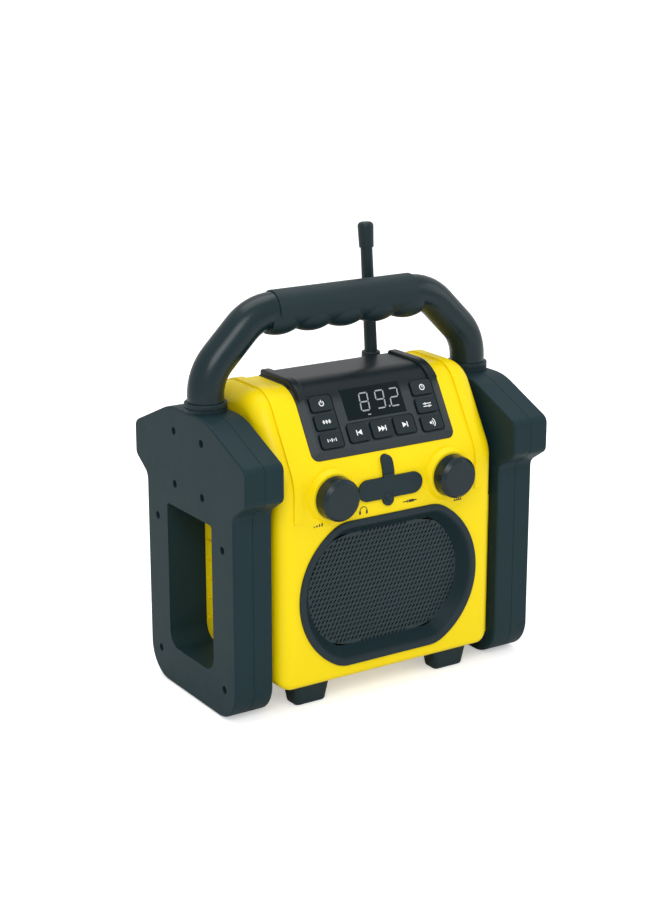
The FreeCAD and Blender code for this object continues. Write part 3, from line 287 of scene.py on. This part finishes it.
def pierced_sheet():
    """Leaning grid of cells; each has a ring of four faces round a slanted opening.

    A point of the grid is (column + half its row) times the pitch across, and its row
    times the pitch up, so that each row stands half a cell beside the one below it. The
    outline is a superellipse, and a point outside it is divided by its reach, which
    draws it in to the outline along the line to the centre.
    """
    low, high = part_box("speaker_grille")
    centre = np.array([(low[0] + high[0]) / 2, (low[2] + high[2]) / 2])
    half = np.array([(high[0] - low[0]) / 2, (high[2] - low[2]) / 2])
    rows = int(np.ceil(2 * half[1] / hole_pitch_z)) + 1
    columns = int(np.ceil(2 * half[0] / hole_pitch_x + rows * hole_shift)) + 1
    column, row = np.meshgrid(np.arange(columns + 1), np.arange(rows + 1), indexing="ij")
    column = column - columns / 2 + (row - rows / 2) * hole_shift
    grid = np.stack([column * hole_pitch_x, (row - rows / 2) * hole_pitch_z], -1)
    middle = (grid[:-1, :-1] + grid[1:, 1:]) / 2
    step = np.array([[-1, -1], [1, -1], [1, 1], [-1, 1]]) * np.array([hole_length, hole_height])
    step = step + np.stack([step[:, 1] * hole_slant, np.zeros(4)], -1)
    holes = middle[:, :, None, :] + step
    outside = reach(grid, half)
    drawn = grid / np.maximum(outside, 1)[..., None]
    corner = np.arange(outside.size).reshape(outside.shape)
    ring = corner.size + np.arange(holes[..., 0].size).reshape(holes.shape[:3])
    outer = np.stack([corner[:-1, :-1], corner[1:, :-1], corner[1:, 1:], corner[:-1, 1:]], -1)
    after = [1, 2, 3, 0]
    open_cell = reach(middle, half) < last_hole
    within = outside < 1
    solid_cell = within[:-1, :-1] | within[1:, 1:] | within[1:, :-1] | within[:-1, 1:]
    solid_cell &= ~open_cell
    around = np.stack([outer, outer[..., after], ring[..., after], ring], -1)[open_cell]
    faces = np.concatenate([around.reshape(-1, 4), outer[solid_cell]]).tolist()
    flat = np.concatenate([drawn.reshape(-1, 2), holes.reshape(-1, 2)]) + centre
    points = np.stack([flat[:, 0], np.full(len(flat), low[1]), flat[:, 1]], -1)
    return points, faces


grille = make_piece("grille_sheet", *pierced_sheet(), grille_paint, "grille_metal", "case")
thicken(grille, sheet_thickness, -1.0)
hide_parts("speaker_grille")

# Control panel: a moulded dark panel with a coarse grain that follows the shoulder, smooth
# on the crown. It holds a smoked window with lit digits and nine moulded keys, whose
# signs are printed in white.

panel_plastic = moulded(
    "panel_plastic", (0.010, 0.022, 0.027), (0.022, 0.034, 0.040),
    roughness=0.45, grain_size=1.1 * mm, grain_depth=0.6,
)
crown_start = 217 * mm
crown_end = 223 * mm
crown_dark = (0.002, 0.008, 0.011)
speckle_size = 1.4 * mm
speckle_dark = (0.016, 0.026, 0.031)
speckle_light = (0.034, 0.043, 0.048)
slope_roughness = 0.5
crown_polish = 0.14
crown = panel_plastic.rise(2, crown_start, crown_end)
speckle = panel_plastic.noise(speckle_size, 2)
slope_colour = panel_plastic.blend(speckle, speckle_dark, speckle_light)
panel_plastic.shine(
    Base_Color=panel_plastic.blend(crown, slope_colour, crown_dark),
    Roughness=slope_roughness - crown_polish * crown,
)
dress(panel_plastic, "control_panel")
key_plastic = moulded(
    "key_plastic", (0.003, 0.011, 0.015), (0.006, 0.016, 0.020),
    roughness=0.5, grain_size=0.6 * mm, grain_depth=0.25,
)
key_names = ["power", "mode", "scan", "clock", "preset", "link", "back", "play", "next"]
dress(key_plastic, *[name + "_key" for name in key_names])
window_finish = moulded(
    "smoked_window", (0.001, 0.006, 0.008), (0.002, 0.008, 0.010),
    roughness=0.2, grain_size=2 * mm, grain_depth=0.0, gloss=0.12,
)
dress(window_finish, "display_window")
lean = math.radians(31.0)
face_depth = 0.05 * mm
slope_up = np.array([0.0, math.sin(lean), math.cos(lean)])
slope_out = np.array([0.0, -math.cos(lean), math.sin(lean)])
across = np.array([1.0, 0.0, 0.0])
ink_thickness = 0.12 * mm


def corners_of(name):
    """The points of a construction piece, as an array."""
    mesh = nodes[name].data
    points = np.empty(3 * len(mesh.vertices))
    mesh.vertices.foreach_get("co", points)
    return points.reshape(-1, 3)


def face_place(name):
    """Middle of a piece's outer face: the points within a film of its outermost one."""
    points = corners_of(name)
    up, out = points @ slope_up, points @ slope_out
    face = out > out.max() - face_depth
    middle_up = (up[face].min() + up[face].max()) / 2
    middle_x = (points[face, 0].min() + points[face, 0].max()) / 2
    return middle_x * across + middle_up * slope_up + out.max() * slope_out


def bar(x0, y0, x1, y1, width):
    """A straight stroke with square ends: its centre line moved half a width to each side."""
    start, end = np.array([x0, y0]), np.array([x1, y1])
    side = np.array([start[1] - end[1], end[0] - start[0]])
    side = side / np.linalg.norm(side) * width / 2
    return [np.array([start + side, start - side, end - side, end + side])]


def arc(x, y, radius, start, stop, width, count=20):
    """A stroke along a circle, as a strip of four-sided faces.

    Each point is the centre plus the radius, less or more half the width, times
    (cosine, sine) of its angle.
    """
    angle = np.radians(np.linspace(start, stop, count))
    ray = np.stack([np.cos(angle), np.sin(angle)], -1)
    inner = (radius - width / 2) * ray + (x, y)
    outer = (radius + width / 2) * ray + (x, y)
    return list(np.stack([inner[:-1], outer[:-1], outer[1:], inner[1:]], 1))


def triangle(x, y, width, height):
    """A filled triangle that points along the width; a negative width points back."""
    return [np.array([[x, y - height / 2], [x + width, y], [x, y + height / 2]])]


def facing_out(shape):
    """Whether the corners run anticlockwise: the sum of x * next y - next x * y is over 0."""
    after = np.roll(shape, -1, axis=0)
    return (shape[:, 0] * after[:, 1] - after[:, 0] * shape[:, 1]).sum() > 0


def printed(name, shapes, place, right, up, finish, slot, body):
    """Flat filled shapes, in millimetres, laid on a face and given a film's thickness.

    Each point is the place, plus x times the right, plus y times the up direction. A
    shape whose corners run clockwise is turned round, so that it faces outwards.
    """
    shapes = [shape if facing_out(shape) else shape[::-1] for shape in shapes]
    flat = np.concatenate(shapes) * mm
    points = place + flat[:, :1] * right + flat[:, 1:] * up
    ends = np.cumsum([len(shape) for shape in shapes])
    faces = [list(range(end - len(shape), end)) for shape, end in zip(shapes, ends)]
    piece = make_piece(name, points, faces, finish, slot, body)
    thicken(piece, ink_thickness, 1.0)


white_ink = moulded(
    "white_ink", (0.78, 0.80, 0.80), (0.86, 0.88, 0.88),
    roughness=0.5, grain_size=1 * mm, grain_depth=0.0,
)

# The signs are drawn in millimetres from the middle of a key's face.
key_marks = {
    "power": arc(0, 0, 1.75, 125, 415, 0.65) + bar(0, 0.2, 0, 2.6, 0.65),
    "clock": arc(0, 0, 2.0, 0, 360, 0.65) + bar(0, 0, 0, 1.3, 0.5)
    + bar(0, 0, 1.0, 0.0, 0.5),
    "mode": bar(-3.6, 0, 3.6, 0, 0.5) + bar(-2.4, -1.3, -2.4, 1.3, 1.1)
    + bar(0, -1.3, 0, 1.3, 1.1) + bar(2.4, -1.3, 2.4, 1.3, 1.1),
    "scan": bar(-3.4, -1.2, -3.4, 1.2, 0.6) + bar(-1.7, -0.6, -1.7, 0.6, 0.6)
    + bar(0, -1.2, 0, 1.2, 0.9) + bar(1.7, -0.6, 1.7, 0.6, 0.6)
    + bar(3.4, -1.2, 3.4, 1.2, 0.6),
    "preset": bar(-3.6, 1.0, 3.6, 1.0, 0.6) + bar(-3.6, -1.0, 3.6, -1.0, 0.6)
    + arc(-1.6, 1.0, 0.5, 0, 360, 0.7, 12) + arc(1.6, -1.0, 0.5, 0, 360, 0.7, 12),
    "link": arc(-1.6, 0, 0.5, 0, 360, 0.9, 12) + arc(-1.6, 0, 2.1, -50, 50, 0.65)
    + arc(-1.6, 0, 3.7, -50, 50, 0.65),
    "back": bar(-2.0, -2.0, -2.0, 2.0, 0.8) + triangle(2.1, 0, -3.6, 4.0),
    "play": triangle(-3.4, 0, 3.0, 4.2) + triangle(-0.6, 0, 3.0, 4.2)
    + bar(3.0, -2.0, 3.0, 2.0, 0.8),
    "next": triangle(-2.1, 0, 3.6, 4.0) + bar(2.0, -2.0, 2.0, 2.0, 0.8),
}
for key, shapes in key_marks.items():
    printed(key + "_mark", shapes, face_place(key + "_key"), across, slope_up, white_ink,
            "key_plastic", key + "_button")

digit_light = Finish(bpy.data.materials.new("digit_light"))
digit_light.shine(
    Base_Color=(0.26, 0.28, 0.29, 1), Roughness=0.4,
    Emission_Color=(0.40, 0.43, 0.43, 1), Emission_Strength=0.2,
)
digit_height = 13.1
digit_width = 7.0
stroke = 0.95
digit_slant = 0.10
segment_gap = 0.35
lit = {8: "abcdefg", 9: "abcdfg", 2: "abged"}


def segments(number, x, y):
    """The lit bars of one seven-bar digit, each a long six-sided shape."""
    w, h = digit_width / 2, digit_height / 2
    ends = {
        "a": ((-w, h), (w, h)), "b": ((w, h), (w, 0)), "c": ((w, 0), (w, -h)),
        "d": ((-w, -h), (w, -h)), "e": ((-w, 0), (-w, -h)), "f": ((-w, h), (-w, 0)),
        "g": ((-w, 0), (w, 0)),
    }
    shapes = []
    for letter in lit[number]:
        start, end = np.array(ends[letter][0]), np.array(ends[letter][1])
        along = (end - start) / np.linalg.norm(end - start)
        side = np.array([-along[1], along[0]]) * stroke / 2
        start = start + along * segment_gap
        end = end - along * segment_gap
        cap = along * stroke / 2
        points = np.array([start, start + cap - side, end - cap - side, end,
                           end - cap + side, start + cap + side])
        points[:, 0] += points[:, 1] * digit_slant
        shapes.append(points + (x, y))
    return shapes


window_face = face_place("display_window")
digit_row = 0.4
digit_places = {8: -7.4, 9: 6.4, 2: 18.7}
point_row = digit_row - 6.1
dash_row = -9.4
reading = bar(12.1, point_row, 13.3, point_row, 1.2) + bar(-7.2, dash_row, -4.8, dash_row, 0.8)
for number, x in digit_places.items():
    reading += segments(number, x, digit_row)
printed("display_reading", reading, window_face, across, slope_up, digit_light,
        "smoked_window", "case")

# Inside parts: two green circuit boards, and the plain black mouldings of the display
# module and the sockets, all fixed inside the case. Only the mouths of the sockets show.

circuit_finish = moulded(
    "circuit_board", (0.02, 0.12, 0.05), (0.03, 0.15, 0.06),
    roughness=0.5, grain_size=1 * mm, grain_depth=0.2,
)
dress(circuit_finish, "key_board", "main_board")
inner_plastic = moulded(
    "inner_plastic", (0.01, 0.01, 0.01), (0.015, 0.015, 0.015),
    roughness=0.4, grain_size=1 * mm, grain_depth=0.1,
)
dress(inner_plastic, "display_module", "dc_inlet", "headphone_jack", "aux_jack")

# Marks on the body: small plain signs printed in dark ink straight on the yellow
# plastic, one under each knob and two under the socket cover.

dark_ink = moulded(
    "dark_ink", (0.02, 0.02, 0.02), (0.03, 0.03, 0.03),
    roughness=0.5, grain_size=1 * mm, grain_depth=0.0,
)

# Each sign has its place on the front, across and up, and is drawn in millimetres from it.
front_y = -64.2 * mm
upright = np.array([0.0, 0.0, 1.0])
body_marks = {
    "headphone_print": (
        (-23.5, 143.5),
        arc(0, -0.6, 2.9, 0, 180, 0.6) + bar(-2.9, -0.6, -2.9, -3.2, 1.5)
        + bar(2.9, -0.6, 2.9, -3.2, 1.5)),
    "aux_print": (
        (16.9, 143.3),
        bar(-6.0, 0, -1.9, 0, 0.7) + bar(-2.2, -1.1, -2.2, 1.1, 0.8)
        + bar(-1.2, 0, 3.6, 0, 2.0) + bar(3.6, 0, 6.0, 0, 0.9)),
    "volume_print": (
        (-61.7, 138.6),
        bar(-3.2, -1.1, -3.2, -0.2, 1.1) + bar(-1.1, -1.1, -1.1, 0.3, 1.1)
        + bar(1.1, -1.1, 1.1, 0.8, 1.1) + bar(3.2, -1.1, 3.2, 1.3, 1.1)),
    "tuning_print": (
        (60.0, 137.4),
        bar(-3.6, -0.9, 3.6, -0.9, 0.6) + bar(-2.7, -0.9, -2.7, 0.5, 0.7)
        + bar(-0.9, -0.9, -0.9, 0.5, 0.7) + bar(0.9, -0.9, 0.9, 1.3, 0.8)
        + bar(2.7, -0.9, 2.7, 0.5, 0.7)),
}
for name, ((x, z), shapes) in body_marks.items():
    place = np.array([x * mm, front_y, z * mm])
    printed(name, shapes, place, across, upright, dark_ink, "yellow_shell", "case")

# Knobs: round drums of dark plastic with a bevel round the face, each moulded in one
# piece and pushed on to the steel shaft of its control.

knob_plastic = moulded(
    "knob_plastic", (0.002, 0.012, 0.016), (0.004, 0.016, 0.021),
    roughness=0.3, grain_size=0.6 * mm, grain_depth=0.2, gloss=0.36,
)
dress(knob_plastic, "volume_knob", "tuning_knob")

# Aerial: a rubber covered whip with a thicker moulded tip, leaning back a little. Its
# collar stands on the crown behind the panel.

aerial_rubber = moulded(
    "aerial_rubber", (0.003, 0.015, 0.020), (0.006, 0.020, 0.025),
    roughness=0.42, grain_size=0.6 * mm, grain_depth=0.2,
)
dress(aerial_rubber, "aerial_base", "aerial_rod", "aerial_cap")

# Room: a plain white floor that keeps the shadow, an even white light all round, three
# large soft lamps, and the camera in front, to the left of and above the radio.

black = (0.0, 0.0, 0.0)
white = (1.0, 1.0, 1.0)
floor_glow = 0.42
floor_radius = 30.0
floor_corners = np.array([[-1, -1, 0], [1, -1, 0], [1, 1, 0], [-1, 1, 0]]) * floor_radius
floor_mesh = bpy.data.meshes.new("floor")
floor_mesh.from_pydata(floor_corners.tolist(), [], [[0, 1, 2, 3]])
floor = bpy.data.objects.new("floor", floor_mesh)
bpy.context.scene.collection.objects.link(floor)
floor_finish = Finish(bpy.data.materials.new("floor_white"))
seen = floor_finish.node("LightPath", output="Is Camera Ray")
floor_finish.shine(
    Base_Color=(0.9, 0.9, 0.9, 1), Roughness=0.9, Specular_IOR_Level=0.0,
    Emission_Color=floor_finish.blend(seen, black, white), Emission_Strength=floor_glow,
)
floor_mesh.materials.append(floor_finish.holder)

world = bpy.data.worlds.new("room")
bpy.context.scene.world = world
room = Finish(world, "Background")
sky_light = (0.75, 0.75, 0.75)
room.shine(Color=room.blend(room.node("LightPath", output="Is Camera Ray"), sky_light, white))


def lamp(name, place, aim, size, power):
    """A square soft lamp that looks from one point to another."""
    light = bpy.data.lights.new(name, "AREA")
    light.size = size
    light.energy = power
    lamp_object = bpy.data.objects.new(name, light)
    bpy.context.scene.collection.objects.link(lamp_object)
    lamp_object.location = place
    toward = np.array(aim) - np.array(place)
    spin = math.atan2(toward[1], toward[0]) - math.pi / 2
    tilt = math.acos(-toward[2] / np.linalg.norm(toward))
    lamp_object.rotation_euler = (tilt, 0, spin)


body_middle = (0, 0, 0.15)
lamp("front_lamp", place=(-1.0, -1.5, 1.5), aim=body_middle, size=1.0, power=17)
lamp("right_lamp", place=(1.7, -0.9, 1.0), aim=body_middle, size=1.2, power=5)
lamp("top_lamp", place=(0.1, 0.4, 2.0), aim=body_middle, size=1.4, power=14)

camera_place = (-0.7276, -1.1087, 0.5538)
camera_turn = math.radians(-32.9)
camera_drop = math.radians(16.2)
camera = bpy.data.cameras.new("camera")
camera.lens = 74.3
camera.sensor_width = 36
camera_object = bpy.data.objects.new("camera", camera)
bpy.context.scene.collection.objects.link(camera_object)
camera_object.location = camera_place
camera_object.rotation_euler = (math.pi / 2 - camera_drop, 0, camera_turn)
bpy.context.scene.camera = camera_object
bpy.context.scene.view_settings.view_transform = "Standard"
